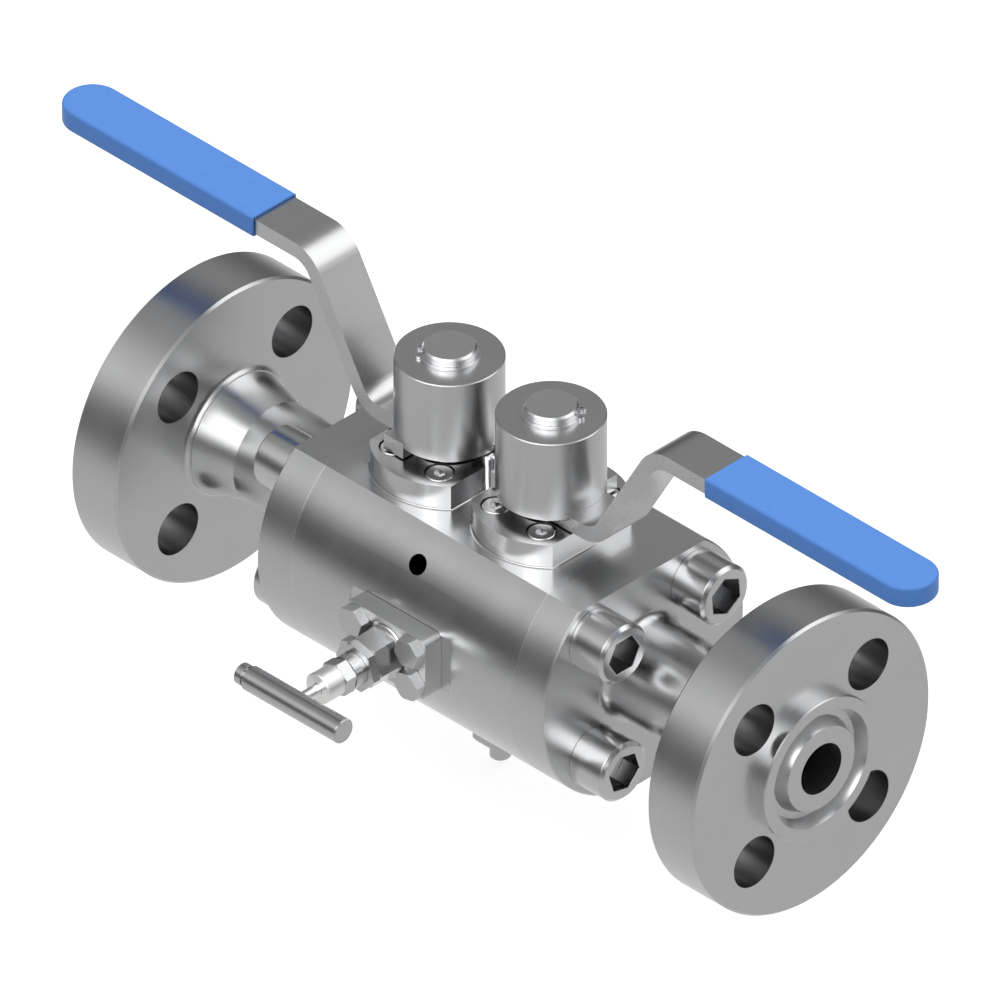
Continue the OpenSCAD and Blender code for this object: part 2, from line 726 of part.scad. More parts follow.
module drive_cap(side) {
  color([0.66, 0.67, 0.68]) at_stem(side) difference() {
    translate([0, 0, cap_bottom_z]) rotate_extrude($fn = 96) polygon([
      [0, 0], [cap_d / 2, 0], [cap_d / 2, cap_top_z - cap_bottom_z - 0.4],
      [cap_d / 2 - 0.4, cap_top_z - cap_bottom_z], [0, cap_top_z - cap_bottom_z]
    ]);
    translate([0, 0, cap_bottom_z - over]) cylinder(d = stem_d + 2 * fit, h = cap_top_z);
    translate([0, 0, cap_bottom_z - over])
      linear_extrude(bar_top_z - cap_bottom_z + over + seat_gap) head_plan(fit);
    key_shape(fit, cap_bottom_z);
  }
}

circlip_inner_d = stem_d - 2.2;
module circlip(side) {
  ear = 2.2;
  outer_r = circlip_inner_d / 2 + circlip_w;
  color([0.55, 0.55, 0.56]) at_stem(side) translate([0, 0, circlip_z]) rotate([0, 0, 40]) difference() {
    union() {
      cylinder(d = 2 * outer_r, h = circlip_t);
      for (s = [-1, 1]) rotate([0, 0, s * 14]) translate([outer_r - 0.4, 0, 0])
        cylinder(r = ear, h = circlip_t, $fn = 32);
    }
    translate([0, 0, -over]) cylinder(d = circlip_inner_d, h = circlip_t + 2 * over);
    translate([0, -1.3, -over]) cube([cap_d / 2, 2.6, circlip_t + 2 * over]);
    for (s = [-1, 1]) rotate([0, 0, s * 14]) translate([outer_r - 0.1, 0, -over])
      cylinder(r = 0.9, h = circlip_t + 2 * over, $fn = 24);
  }
}

// The kite between the two ends of a bend, out to a distance from its centre
module bend_kite(r) {
  polygon([
    [0, 0], [0, -r], [r * tan(lever_slope / 2), -r], [r * sin(lever_slope), -r * cos(lever_slope)]
  ]);
}

// What a bend adds on its inner side
module bend_fill() {
  difference() {
    bend_kite(bend_r);
    circle(r = bend_r - bar_t / 2);
  }
}

// What a bend takes off on its outer side
module bend_trim() {
  difference() {
    bend_kite(bend_r + 2 * bar_t);
    circle(r = bend_r + bar_t / 2);
  }
}

// Side view of the lever: foot, slope and hand bar with two round bends
module lever_profile() {
  half_t = bar_t / 2;
  mitre = half_t * tan(lever_slope / 2);
  tip_x = lever_reach + bar_w;
  difference() {
    union() {
      polygon([
        [-lever_tail - over, base_mid_z - half_t], [lever_foot_x + mitre, base_mid_z - half_t],
        [hand_vertex_x + mitre, hand_mid_z - half_t], [tip_x, hand_mid_z - half_t],
        [tip_x, hand_mid_z + half_t], [hand_vertex_x - mitre, hand_mid_z + half_t],
        [lever_foot_x - mitre, base_mid_z + half_t], [-lever_tail - over, base_mid_z + half_t]
      ]);
      translate([lever_foot_x - bend_cut, base_mid_z + bend_r]) bend_fill();
      translate([hand_vertex_x + bend_cut, hand_mid_z - bend_r]) rotate(180) bend_fill();
    }
    translate([lever_foot_x - bend_cut, base_mid_z + bend_r]) bend_trim();
    translate([hand_vertex_x + bend_cut, hand_mid_z - bend_r]) rotate(180) bend_trim();
  }
}

module lever(side) {
  color([0.63, 0.64, 0.65]) at_stem(side) difference() {
    intersection() {
      translate([0, body_d / 2, 0]) rotate([90, 0, 0]) linear_extrude(body_d) lever_profile();
      translate([0, 0, plate_z - over]) linear_extrude(hand_bar_z - plate_z + 2 * over) union() {
        head_plan(0);
        hand_plan(lever_reach, bar_w);
      }
    }
    translate([0, 0, plate_z - over]) cylinder(d = stem_d + 2 * fit, h = bar_t + 2 * over);
    key_shape(fit, plate_z - over);
  }
}

// Plan of a straight bar from the origin to the middle of its round end
module hand_plan(length, width) {
  translate([0, -width / 2]) square([length, width]);
  translate([length, 0]) circle(d = width);
}

module lever_sleeve(side) {
  length = lever_reach - sleeve_start;
  color([0.3, 0.52, 0.84]) at_stem(side) translate([sleeve_start, 0, hand_mid_z]) difference() {
    translate([0, 0, -bar_t / 2 - sleeve_wall]) linear_extrude(bar_t + 2 * sleeve_wall)
      hand_plan(length, bar_w + 2 * sleeve_wall);
    translate([-over, 0, -bar_t / 2 - seat_gap]) linear_extrude(bar_t + 2 * seat_gap)
      hand_plan(length + over, bar_w + 2 * seat_gap);
  }
}

// Bleed valve, drawn on Z and laid along -Y

module bleed_bonnet() {
  color([0.66, 0.67, 0.68]) along_bleed() difference() {
    union() {
      translate([0, 0, bonnet_foot_y]) cylinder(d = bleed_pocket_d - 2 * fit, h = plate_y - bonnet_foot_y);
      translate([0, 0, bleed_seat_y + seat_gap]) linear_extrude(plate_t - seat_gap) plate_plan();
      // Concave foot of the collar
      translate([0, 0, plate_y]) rotate_extrude() difference() {
        square([bonnet_collar_d / 2 + bonnet_collar_h, bonnet_collar_h]);
        translate([bonnet_collar_d / 2 + bonnet_collar_h, bonnet_collar_h]) circle(r = bonnet_collar_h);
      }
      translate([0, 0, hex_y - 0.4]) cylinder(d = bonnet_af + 1.8, h = 0.8);
      translate([0, 0, hex_y]) rotate([0, 0, -7]) turned_hexagon(bonnet_af, bonnet_hex_l, 0.9);
      translate([0, 0, hex_end_y - over]) cylinder(d = bonnet_neck_d, h = bonnet_neck_l + over);
    }
    translate([0, 0, bonnet_foot_y - over]) cylinder(d = spindle_thread_d + 2 * fit, h = packing_seat_y);
    translate([0, 0, packing_seat_y]) cylinder(d = bleed_packing_d + 2 * fit, h = neck_end_y);
    translate([0, 0, bleed_seat_y - over])
      ring(gasket_d + gasket_w + 2 * seat_gap, gasket_d - gasket_w - 2 * seat_gap,
        over + gasket_t + seat_gap);
    at_plate_screws() translate([0, 0, bleed_seat_y - over])
      cylinder(d = plate_screw_d + 0.8, h = plate_t + 2 * over);
  }
}
gasket_d = 22;
gasket_w = 3.2;
gasket_t = 1.5;

// Plan of the bonnet plate with its rounded corners
module plate_plan() {
  inner_w = plate_w - 2 * plate_corner;
  inner_h = plate_h - 2 * plate_corner;
  square([plate_w, inner_h], center = true);
  square([inner_w, plate_h], center = true);
  for (sx = [-1, 1], sy = [-1, 1]) translate([sx * inner_w / 2, sy * inner_h / 2])
    circle(r = plate_corner, $fn = 32);
}

module bleed_plate_screws() {
  color([0.6, 0.61, 0.62]) along_bleed() at_plate_screws() translate([0, 0, plate_y + seat_gap]) {
    rotate([0, 0, 12]) turned_hexagon(plate_head_af, plate_head_h, 0.6);
    translate([0, 0, -plate_t - 13]) cylinder(d = plate_screw_d, h = plate_t + 13 + over);
  }
}

module bleed_gasket() {
  color([0.9, 0.89, 0.85]) along_bleed() translate([0, 0, bleed_seat_y + seat_gap])
    ring(gasket_d + gasket_w, gasket_d - gasket_w, gasket_t - seat_gap);
}

module bleed_seat() {
  color([0.9, 0.89, 0.85]) along_bleed() difference() {
    translate([0, 0, bleed_pocket_y + seat_gap])
      ring(bleed_pocket_d - 2 * fit, bleed_bore_d, bleed_insert_t - seat_gap);
    translate([0, 0, insert_end_y - 2]) rotate_extrude() polygon([
      [0, 0], [bleed_bore_d / 2, 0], [bleed_bore_d / 2 + 1.2 + 0.6, 3], [0, 3]
    ]);
  }
}

needle_d = 6.4;
needle_socket_l = 4;
module bleed_needle() {
  color([0.75, 0.76, 0.77]) along_bleed() difference() {
    translate([0, 0, insert_end_y - 3.4]) rotate_extrude() polygon([
      [0, 0], [0.5, 0], [bleed_bore_d / 2 - pass_gap, 1.9], [needle_d / 2, 4.2],
      [needle_d / 2, spindle_foot_y - seat_gap - insert_end_y + 3.4],
      [0, spindle_foot_y - seat_gap - insert_end_y + 3.4]
    ]);
    translate([0, 0, spindle_foot_y - needle_socket_l]) cylinder(d = 3.2, h = needle_socket_l + over, $fn = 32);
  }
}

module bleed_spindle() {
  color([0.78, 0.79, 0.8]) along_bleed() difference() {
    union() {
      translate([0, 0, spindle_foot_y + seat_gap])
        cylinder(d = spindle_thread_d - 2 * fit, h = thread_end_y - spindle_foot_y - seat_gap);
      translate([0, 0, spindle_foot_y - needle_socket_l + 0.3]) cylinder(d = 3, h = needle_socket_l + over, $fn = 32);
      translate([0, 0, spindle_foot_y + over]) cylinder(d = spindle_d, h = tee_y + tee_d / 4 - spindle_foot_y - over);
    }
    translate([-tee_d, 0, tee_y]) rotate([0, 90, 0]) cylinder(d = 2 + 2 * fit, h = 2 * tee_d, $fn = 24);
  }
}

module bleed_packing() {
  color([0.2, 0.2, 0.21]) along_bleed() translate([0, 0, packing_seat_y + seat_gap])
    ring(bleed_packing_d, spindle_d + 2 * fit, bleed_packing_h);
}

module bleed_lock_nut() {
  color([0.62, 0.63, 0.64]) along_bleed() translate([0, 0, hex_end_y + seat_gap]) difference() {
    rotate([0, 0, -12]) turned_hexagon(bonnet_af, lock_nut_t, 0.8);
    translate([0, 0, -over]) cylinder(d = bonnet_neck_d + 2 * fit, h = lock_nut_t + 2 * over);
  }
}

module bleed_gland_nut() {
  spigot_y = packing_seat_y + bleed_packing_h + 2 * seat_gap;
  color([0.6, 0.61, 0.62]) along_bleed() difference() {
    union() {
      translate([0, 0, gland_nut_y]) rotate([0, 0, 20]) turned_hexagon(gland_nut_af, gland_nut_t, 0.6);
      translate([0, 0, spigot_y]) cylinder(d = bleed_packing_d, h = gland_nut_y - spigot_y + over);
    }
    translate([0, 0, spigot_y - over]) cylinder(d = spindle_d + 2 * fit, h = dust_cap_end);
  }
}

module bleed_dust_cap() {
  color([0.85, 0.85, 0.84]) along_bleed() translate([0, 0, dust_cap_y]) difference() {
    rotate_extrude() polygon([
      [0, 0], [dust_cap_d / 2, 0], [dust_cap_d / 2, dust_cap_l - 0.4],
      [dust_cap_d / 2 - 0.4, dust_cap_l], [0, dust_cap_l]
    ]);
    translate([0, 0, -over]) cylinder(d = spindle_d + 2 * fit, h = dust_cap_l + 2 * over);
  }
}

module bleed_handle() {
  groove_x = tee_tail - 5.7;
  color([0.66, 0.67, 0.68]) along_bleed() translate([0, 0, tee_y]) difference() {
    translate([-tee_tail, 0, 0]) along_x() rotate_extrude() polygon([
      [0, 0], [tee_d / 2 - 1.4, 0], [tee_d / 2 - 0.8, 0.6],
      [tee_d / 2 - 0.8, tee_tail - groove_x - 1.4], [tee_d / 2 - 1.8, tee_tail - groove_x - 1.4],
      [tee_d / 2 - 1.8, tee_tail - groove_x], [tee_d / 2 - 0.5, tee_tail - groove_x],
      [tee_d / 2, tee_tail - groove_x + 0.5],
      [tee_d / 2, tee_tail + tee_reach - 0.5], [tee_d / 2 - 0.5, tee_tail + tee_reach],
      [0, tee_tail + tee_reach]
    ]);
    translate([0, 0, -tee_d]) cylinder(d = spindle_d + 2 * seat_gap, h = tee_d + tee_d / 4 + seat_gap);
    translate([-tee_tail, 0, 0]) along_x() cylinder(d = 2 + 2 * fit, h = tee_tail + 5, $fn = 24);
  }
}

module bleed_handle_pin() {
  color([0.5, 0.5, 0.52]) along_bleed() translate([-tee_tail + 2, 0, tee_y]) along_x()
    cylinder(d = 2, h = tee_tail + 2.6, $fn = 24);
}

// Bleed outlet under the body

module outlet_fitting() {
  color([0.64, 0.65, 0.66]) translate([mid_x, 0, 0]) rotate([180, 0, 0]) difference() {
    union() {
      translate([0, 0, spot_z - outlet_thread_l]) cylinder(d = outlet_thread_d, h = outlet_thread_l + outlet_seal_t + over);
      translate([0, 0, outlet_hex_z]) turned_hexagon(outlet_hex_d * cos(30), outlet_hex_h, 1.2);
      translate([0, 0, outlet_hex_z]) rotate_extrude() polygon([
        [0, 0], [spigot_d / 2, 0], [spigot_d / 2, outlet_hex_h + spigot_l - 0.8],
        [spigot_d / 2 - 0.8, outlet_hex_h + spigot_l], [0, outlet_hex_h + spigot_l]
      ]);
    }
    translate([0, 0, spot_z - outlet_thread_l - over]) cylinder(d = bleed_bore_d, h = body_d);
  }
}

module outlet_fitting_seal() {
  color([0.45, 0.4, 0.3]) translate([mid_x, 0, -spot_z - seat_gap - outlet_seal_t])
    ring(outlet_hex_d - 1.6, outlet_thread_d + 2 * fit, outlet_seal_t);
}

valve_body();
connector(-1);  // inlet_connector
connector(1);  // outlet_connector
end_screws(-1);  // inlet_end_screws
end_screws(1);  // outlet_end_screws
body_seal(-1);  // inlet_body_seal
body_seal(1);  // outlet_body_seal
outer_seat(-1);  // inlet_outer_seat
inner_seat(-1);  // inlet_inner_seat
inner_seat(1);  // outlet_inner_seat
outer_seat(1);  // outlet_outer_seat
seat_springs();
seat_seals();
ball(-1);  // inlet_ball
ball(1);  // outlet_ball
stem(-1);  // inlet_stem
stem(1);  // outlet_stem
thrust_washer(-1);  // inlet_thrust_washer
thrust_washer(1);  // outlet_thrust_washer
stem_packing(-1);  // inlet_stem_packing
stem_packing(1);  // outlet_stem_packing
gland_follower(-1);  // inlet_gland_follower
gland_follower(1);  // outlet_gland_follower
gland_plate(-1);  // inlet_gland_plate
gland_plate(1);  // outlet_gland_plate
gland_screws(-1);  // inlet_gland_screws
gland_screws(1);  // outlet_gland_screws
stop_pins();
drive_cap(-1);  // inlet_drive_cap
drive_cap(1);  // outlet_drive_cap
key(-1);  // inlet_key
key(1);  // outlet_key
circlip(-1);  // inlet_circlip
circlip(1);  // outlet_circlip
lever(-1);  // inlet_lever
lever(1);  // outlet_lever
lever_sleeve(-1);  // inlet_lever_sleeve
lever_sleeve(1);  // outlet_lever_sleeve
bleed_bonnet();
bleed_plate_screws();
bleed_gasket();
bleed_seat();
bleed_needle();
bleed_spindle();
bleed_packing();
bleed_lock_nut();
bleed_gland_nut();
bleed_dust_cap();
bleed_handle();
bleed_handle_pin();
outlet_fitting();
outlet_fitting_seal();
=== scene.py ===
from math import atan2, cos, pi, radians, sin, sqrt

import bmesh
import bpy
from mathutils import Matrix, Vector


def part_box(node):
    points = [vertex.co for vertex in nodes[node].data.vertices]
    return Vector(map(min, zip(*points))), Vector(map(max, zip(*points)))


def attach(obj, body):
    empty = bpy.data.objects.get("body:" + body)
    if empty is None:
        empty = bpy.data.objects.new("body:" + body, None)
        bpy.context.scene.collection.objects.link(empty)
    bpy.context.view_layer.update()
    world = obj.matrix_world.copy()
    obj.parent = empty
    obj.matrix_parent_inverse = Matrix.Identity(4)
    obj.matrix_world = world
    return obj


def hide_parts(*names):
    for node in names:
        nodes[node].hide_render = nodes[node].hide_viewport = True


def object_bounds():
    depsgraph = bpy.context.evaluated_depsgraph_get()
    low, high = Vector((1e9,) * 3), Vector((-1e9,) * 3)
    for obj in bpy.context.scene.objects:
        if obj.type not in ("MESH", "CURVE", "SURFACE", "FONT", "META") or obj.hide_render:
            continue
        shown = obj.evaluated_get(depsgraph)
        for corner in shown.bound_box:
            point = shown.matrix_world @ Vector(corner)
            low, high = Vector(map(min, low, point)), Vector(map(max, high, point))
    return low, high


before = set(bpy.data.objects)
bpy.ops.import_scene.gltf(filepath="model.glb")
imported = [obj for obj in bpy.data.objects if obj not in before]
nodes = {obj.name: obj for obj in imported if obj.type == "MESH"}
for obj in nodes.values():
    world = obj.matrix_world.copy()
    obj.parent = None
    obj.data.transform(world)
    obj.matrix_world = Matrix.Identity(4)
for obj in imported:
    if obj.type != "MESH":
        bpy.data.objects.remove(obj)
cad_box = [list(corner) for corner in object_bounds()]
MM = 0.001

# Valve body: one round bar of stainless steel, milled flat along the top, with two stem bosses.
# It is turned, milled and left satin, so every face carries fine tool marks and no paint.
# Inlet and outlet are 404 mm apart and the two stems stand 64 mm apart in the middle.
FACE_TO_FACE = 404 * MM
MIDDLE = Vector((FACE_TO_FACE / 2, 0, 0))
STEEL = (0.36, 0.362, 0.365)
TONE_SPREAD, ROUGHNESS_SPREAD = 0.06, 0.05


def tool_marks_group():
    """Turning marks round the X axis of the coordinates it is given: a height and a fine mottle."""
    group = bpy.data.node_groups.new("tool_marks", "ShaderNodeTree")
    for name, kind in (("Vector", "NodeSocketVector"), ("Pitch", "NodeSocketFloat")):
        group.interface.new_socket(name, in_out="INPUT", socket_type=kind)
    for name in ("Height", "Mottle"):
        group.interface.new_socket(name, in_out="OUTPUT", socket_type="NodeSocketFloat")
    tree, link = group.nodes, group.links.new
    source, result = tree.new("NodeGroupInput"), tree.new("NodeGroupOutput")
    parts = tree.new("ShaderNodeSeparateXYZ")
    link(source.outputs["Vector"], parts.inputs[0])
    flat = tree.new("ShaderNodeCombineXYZ")
    link(parts.outputs["Y"], flat.inputs["Y"])
    link(parts.outputs["Z"], flat.inputs["Z"])
    radius = tree.new("ShaderNodeVectorMath")
    radius.operation = "LENGTH"
    link(flat.outputs[0], radius.inputs[0])
    across = tree.new("ShaderNodeMath")
    across.operation = "ADD"
    link(radius.outputs["Value"], across.inputs[0])
    link(parts.outputs["X"], across.inputs[1])
    turns = tree.new("ShaderNodeMath")
    turns.operation = "DIVIDE"
    link(across.outputs[0], turns.inputs[0])
    link(source.outputs["Pitch"], turns.inputs[1])
    lines = tree.new("ShaderNodeTexNoise")
    lines.noise_dimensions = "1D"
    lines.inputs["Scale"].default_value = 1.0
    lines.inputs["Detail"].default_value = 2.0
    link(turns.outputs[0], lines.inputs["W"])
    link(lines.outputs["Fac"], result.inputs["Height"])
    mottle = tree.new("ShaderNodeTexNoise")
    mottle.inputs["Scale"].default_value = 34.0
    mottle.inputs["Detail"].default_value = 4.0
    mottle.inputs["Roughness"].default_value = 0.6
    link(source.outputs["Vector"], mottle.inputs["Vector"])
    link(mottle.outputs["Fac"], result.inputs["Mottle"])
    return group


tool_marks = tool_marks_group()


def machined(name, colour, roughness, centre=(0, 0, 0), turn=(0, 0, 0), pitch=0.35 * MM,
             depth=0.01 * MM, edge=0.35 * MM):
    """Machined metal with turning marks round an axis through centre, and softly broken edges."""
    made = bpy.data.materials.new(name)
    made.use_nodes = True
    tree, link = made.node_tree.nodes, made.node_tree.links.new
    shader = tree["Principled BSDF"]
    shader.inputs["Metallic"].default_value = 1.0
    place = tree.new("ShaderNodeTexCoord")
    lay = tree.new("ShaderNodeMapping")
    lay.vector_type = "TEXTURE"
    lay.inputs["Location"].default_value = centre
    lay.inputs["Rotation"].default_value = turn
    link(place.outputs["Object"], lay.inputs["Vector"])
    marks = tree.new("ShaderNodeGroup")
    marks.node_tree = tool_marks
    marks.inputs["Pitch"].default_value = pitch
    link(lay.outputs[0], marks.inputs["Vector"])
    tone = tree.new("ShaderNodeMix")
    tone.data_type = "RGBA"
    tone.inputs["A"].default_value = (*(c * (1 - TONE_SPREAD) for c in colour), 1)
    tone.inputs["B"].default_value = (*(min(c * (1 + TONE_SPREAD), 1) for c in colour), 1)
    link(marks.outputs["Mottle"], tone.inputs["Factor"])
    link(tone.outputs["Result"], shader.inputs["Base Color"])
    rough = tree.new("ShaderNodeMapRange")
    rough.inputs["To Min"].default_value = roughness - ROUGHNESS_SPREAD
    rough.inputs["To Max"].default_value = roughness + ROUGHNESS_SPREAD
    link(marks.outputs["Mottle"], rough.inputs["Value"])
    link(rough.outputs[0], shader.inputs["Roughness"])
    bevel = tree.new("ShaderNodeBevel")
    bevel.samples = 4
    bevel.inputs["Radius"].default_value = edge
    bump = tree.new("ShaderNodeBump")
    bump.inputs["Strength"].default_value = 0.35
    bump.inputs["Distance"].default_value = depth
    link(marks.outputs["Height"], bump.inputs["Height"])
    link(bevel.outputs["Normal"], bump.inputs["Normal"])
    link(bump.outputs["Normal"], shader.inputs["Normal"])
    return made


def finish_with(node, material):
    """Gives a CAD node one material."""
    mesh = nodes[node].data
    mesh.materials.clear()
    mesh.materials.append(material)


body_steel = machined("body_steel", STEEL, 0.25, centre=MIDDLE, edge=0.02 * MM)
finish_with("valve_body", body_steel)

# Vent port: a drilled and tapped hole in the body's front, painted near black inside as shade.
# Its mask is read in a frame whose X axis runs out along the port, 35 degrees upwards, and the
# dark tone fades before the mouth, so it never shows on the body's turned surface.
PORT_TURN = (0, radians(-35), radians(-90))
PORT_REACH = 5.05 * MM
PORT_BOTTOM, PORT_DARK, PORT_MOUTH = 30 * MM, 62.6 * MM, 63.2 * MM
PORT_SHADE_TONE = 0.012


def hole_mask_group():
    """Masks four round holes along X, at plus and minus the Y and Z of one axis."""
    group = bpy.data.node_groups.new("hole_mask", "ShaderNodeTree")
    for name, kind in (("Vector", "Vector"), ("Axis", "Vector"), ("Reach", "Float"),
                       ("Middle X", "Float"), ("Half Depth", "Float")):
        group.interface.new_socket(name, in_out="INPUT", socket_type=f"NodeSocket{kind}")
    group.interface.new_socket("Mask", in_out="OUTPUT", socket_type="NodeSocketFloat")
    tree, link = group.nodes, group.links.new
    source, result = tree.new("NodeGroupInput"), tree.new("NodeGroupOutput")
    mirrored = tree.new("ShaderNodeVectorMath")
    mirrored.operation = "ABSOLUTE"
    link(source.outputs["Vector"], mirrored.inputs[0])
    across = tree.new("ShaderNodeVectorMath")
    across.operation = "MULTIPLY"
    across.inputs[1].default_value = (0, 1, 1)
    link(mirrored.outputs[0], across.inputs[0])
    from_axis = tree.new("ShaderNodeVectorMath")
    from_axis.operation = "DISTANCE"
    link(across.outputs[0], from_axis.inputs[0])
    link(source.outputs["Axis"], from_axis.inputs[1])
    near = tree.new("ShaderNodeMath")
    near.operation = "LESS_THAN"
    link(from_axis.outputs["Value"], near.inputs[0])
    link(source.outputs["Reach"], near.inputs[1])
    parts = tree.new("ShaderNodeSeparateXYZ")
    link(source.outputs["Vector"], parts.inputs[0])
    within = tree.new("ShaderNodeMath")
    within.operation = "COMPARE"
    link(parts.outputs["X"], within.inputs[0])
    link(source.outputs["Middle X"], within.inputs[1])
    link(source.outputs["Half Depth"], within.inputs[2])
    inside = tree.new("ShaderNodeMath")
    inside.operation = "MULTIPLY"
    link(near.outputs[0], inside.inputs[0])
    link(within.outputs[0], inside.inputs[1])
    link(inside.outputs[0], result.inputs["Mask"])
    return group


hole_mask = hole_mask_group()


def holes_in(material, axis, reach, middle_x, half_depth, vector=None):
    """Places the hole mask in a material, on Object coordinates where no vector is given."""
    tree, link = material.node_tree.nodes, material.node_tree.links.new
    if vector is None:
        vector = tree.new("ShaderNodeTexCoord").outputs["Object"]
    mask = tree.new("ShaderNodeGroup")
    mask.node_tree = hole_mask
    for name, number in (("Axis", (0, *axis)), ("Reach", reach), ("Middle X", middle_x),
                         ("Half Depth", half_depth)):
        mask.inputs[name].default_value = number
    link(vector, mask.inputs["Vector"])
    return mask.outputs["Mask"]


def paint_shade(material, mask, share, grey):
    """Paints shade: mixes a share of a dark grey into a material's colour where the mask is one."""
    tree, link = material.node_tree.nodes, material.node_tree.links.new
    factor = tree.new("ShaderNodeMath")
    factor.operation = "MULTIPLY"
    factor.inputs[1].default_value = share
    link(mask, factor.inputs[0])
    tone = tree.new("ShaderNodeMix")
    tone.data_type = "RGBA"
    tone.inputs["B"].default_value = (grey, grey, grey, 1)
    shader = tree["Principled BSDF"]
    link(shader.inputs["Base Color"].links[0].from_socket, tone.inputs["A"])
    link(factor.outputs[0], tone.inputs["Factor"])
    link(tone.outputs["Result"], shader.inputs["Base Color"])


port_tree, port_link = body_steel.node_tree.nodes, body_steel.node_tree.links.new
port_frame = port_tree.new("ShaderNodeMapping")
port_frame.vector_type = "TEXTURE"
port_frame.inputs["Location"].default_value = MIDDLE
port_frame.inputs["Rotation"].default_value = PORT_TURN
port_link(port_tree.new("ShaderNodeTexCoord").outputs["Object"], port_frame.inputs["Vector"])
port_mask = holes_in(body_steel, (0, 0), PORT_REACH, (PORT_BOTTOM + PORT_MOUTH) / 2,
                     (PORT_MOUTH - PORT_BOTTOM) / 2, port_frame.outputs[0])
port_parts = port_tree.new("ShaderNodeSeparateXYZ")
port_link(port_frame.outputs[0], port_parts.inputs[0])
port_fade = port_tree.new("ShaderNodeMapRange")
port_fade.inputs["From Min"].default_value = PORT_MOUTH
port_fade.inputs["From Max"].default_value = PORT_DARK
port_link(port_parts.outputs["X"], port_fade.inputs["Value"])
port_shade = port_tree.new("ShaderNodeMath")
port_shade.operation = "MULTIPLY"
port_link(port_mask, port_shade.inputs[0])
port_link(port_fade.outputs[0], port_shade.inputs[1])
# The port's inside is painted near black: painted shade in the hole.
paint_shade(body_steel, port_shade.outputs[0], 1, PORT_SHADE_TONE)

# Connectors: end plate, neck, cone and flange turned from one forging, marks round the bore.
# The four stud holes of each flange are drilled, and painted half dark inside as shade.
# Each plate is sealed to the body by a black rubber ring.
STUD_AXIS = (35.92 * MM, 35.92 * MM)
STUD_HOLE_REACH = 12.85 * MM
# Painted shade: a share of near black mixed into the stud holes and the screw sockets.
STUD_HOLE_SHADE_SHARE, HOLE_SHADE_TONE = 0.5, 0.02
RAISED_FACE, FLANGE_THICKNESS = 6.35 * MM, 28.6 * MM
PLAIN_SPREAD, GRAIN_DEPTH = 0.05, 0.02 * MM


def moulded_grain_group():
    """A fine grain in the coordinates it is given, for all that is moulded, dipped or pressed."""
    group = bpy.data.node_groups.new("moulded_grain", "ShaderNodeTree")
    group.interface.new_socket("Vector", in_out="INPUT", socket_type="NodeSocketVector")
    group.interface.new_socket("Grain", in_out="OUTPUT", socket_type="NodeSocketFloat")
    tree, link = group.nodes, group.links.new
    source, result = tree.new("NodeGroupInput"), tree.new("NodeGroupOutput")
    mottle = tree.new("ShaderNodeTexNoise")
    mottle.inputs["Scale"].default_value = 260.0
    mottle.inputs["Detail"].default_value = 3.0
    link(source.outputs["Vector"], mottle.inputs["Vector"])
    link(mottle.outputs["Fac"], result.inputs["Grain"])
    return group


moulded_grain = moulded_grain_group()


def plain(name, colour, roughness):
    """A moulded, dipped or pressed material without metal, with a faint grain."""
    made = bpy.data.materials.new(name)
    made.use_nodes = True
    tree, link = made.node_tree.nodes, made.node_tree.links.new
    shader = tree["Principled BSDF"]
    shader.inputs["Roughness"].default_value = roughness
    grain = tree.new("ShaderNodeGroup")
    grain.node_tree = moulded_grain
    link(tree.new("ShaderNodeTexCoord").outputs["Object"], grain.inputs["Vector"])
    tone = tree.new("ShaderNodeMix")
    tone.data_type = "RGBA"
    tone.inputs["A"].default_value = (*(c * (1 - PLAIN_SPREAD) for c in colour), 1)
    tone.inputs["B"].default_value = (*(min(c * (1 + PLAIN_SPREAD), 1) for c in colour), 1)
    link(grain.outputs["Grain"], tone.inputs["Factor"])
    link(tone.outputs["Result"], shader.inputs["Base Color"])
    bump = tree.new("ShaderNodeBump")
    bump.inputs["Strength"].default_value = 0.3
    bump.inputs["Distance"].default_value = GRAIN_DEPTH
    link(grain.outputs["Grain"], bump.inputs["Height"])
    link(bump.outputs["Normal"], shader.inputs["Normal"])
    return made


seal_rubber = plain("seal_rubber", (0.015, 0.015, 0.015), 0.55)
for end, outward in (("inlet", -1), ("outlet", 1)):
    forged = machined(f"{end}_connector_steel", STEEL, 0.29, pitch=0.5 * MM, edge=0.1 * MM)
    flange_x = MIDDLE.x + outward * (FACE_TO_FACE / 2 - RAISED_FACE - FLANGE_THICKNESS / 2)
    stud_hole_shade = holes_in(forged, STUD_AXIS, STUD_HOLE_REACH, flange_x, FLANGE_THICKNESS / 2)
    # Painted shade inside the stud holes.
    paint_shade(forged, stud_hole_shade, STUD_HOLE_SHADE_SHARE, HOLE_SHADE_TONE)
    finish_with(f"{end}_connector", forged)
    finish_with(f"{end}_body_seal", seal_rubber)

